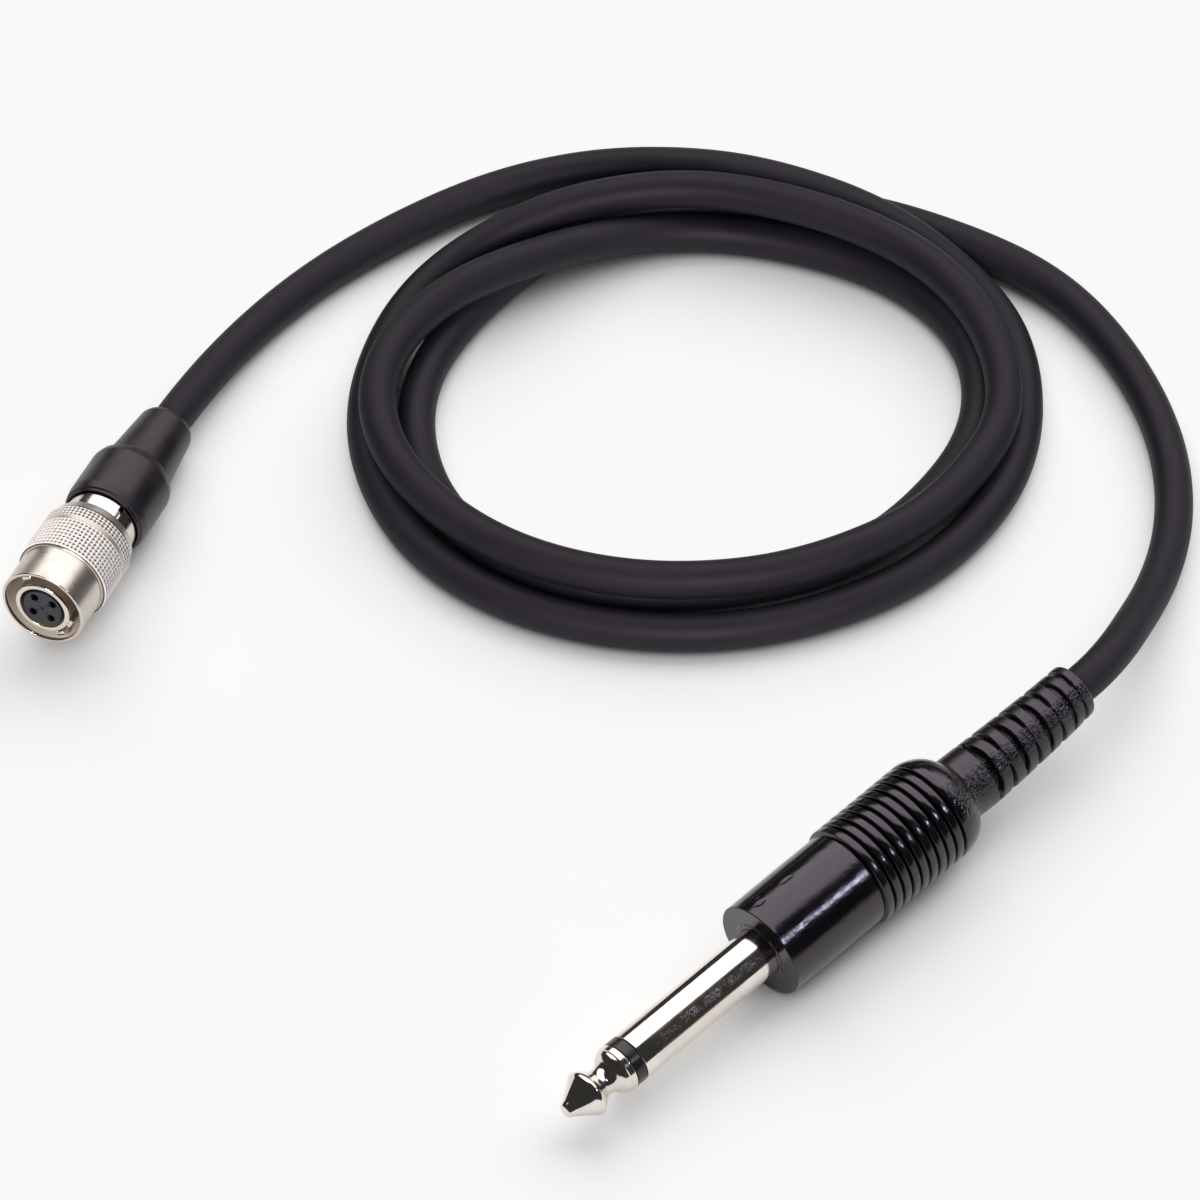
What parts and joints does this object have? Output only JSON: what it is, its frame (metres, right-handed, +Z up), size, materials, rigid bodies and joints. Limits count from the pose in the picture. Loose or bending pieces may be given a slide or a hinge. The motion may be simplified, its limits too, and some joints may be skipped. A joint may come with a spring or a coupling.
{
  "type": "instrument cable",
  "caption": "Thin black instrument cord, lying coiled, with a phone plug in a ribbed moulded grip at one end and a knurled push-pull circular connector with a rubber boot at the other.",
  "frame": {"origin": "bottom centre of the box round the two connectors, on the surface the cable lies on", "axes": "+Z up, away from the surface; +X along the box's longest side, from the circular connector's end towards the phone plug's cord; +Y along its other level side, from the phone plug's tip towards the coil"},
  "size_m": [0.1473, 0.1507, 0.0141],
  "materials": {
    "nickel_mirror": "polished nickel plate",
    "nickel_satin": "satin nickel plate",
    "insert_plastic": "matte, moulded",
    "gold": "gold flash plate",
    "spring_steel": "bright drawn",
    "tinned_brass": "tinned, satin",
    "boot_rubber": "semi-gloss, moulded",
    "wire_red": "satin insulation",
    "copper": "twisted bare copper",
    "ring_plastic": "semi-gloss",
    "mould_plastic": "matte, moulded",
    "solder": "bright, rounded",
    "grip_pvc": "glossy, moulded",
    "cord_jacket": "matte, extruded"
  },
  "bodies": {
    "cable": {"plug_shell": "nickel_mirror", "lock_ring": "nickel_mirror", "contact_insert": "insert_plastic", "socket_contact_1": "gold", "socket_contact_2": "gold", "socket_contact_3": "gold", "socket_contact_4": "gold", "insert_retainer": "spring_steel", "coupling_spring": "spring_steel", "rear_body": "nickel_satin", "cord_clamp": "tinned_brass", "boot": "boot_rubber", "connector_signal_lead": "wire_red", "connector_shield_lead": "copper", "plug_tip": "nickel_mirror", "tip_insulator_ring": "ring_plastic", "plug_sleeve": "nickel_mirror", "rod_insulator": "mould_plastic", "ground_tag": "tinned_brass", "rear_insulating_washer": "mould_plastic", "tip_solder_tag": "tinned_brass", "inner_mould": "mould_plastic", "plug_signal_lead": "wire_red", "plug_shield_lead": "copper", "tip_solder_joint": "solder", "ground_solder_joint": "solder", "plug_grip": "grip_pvc", "cord_lead_connector": "cord_jacket", "cord_lead_plug": "cord_jacket", "cord_coil": "cord_jacket"},
    "coupling": {"coupling_sleeve": "nickel_satin"}
  },
  "joints": [
    {"name": "coupling_slide", "type": "slide", "parent": "cable", "child": "coupling", "axis": [0.3985, 0.9094, -0.1191], "range_m": [0, 0.0014], "stiffness_N_per_m": 600, "springref_m": -0.003, "deforming": ["coupling_spring"]}
  ]
}
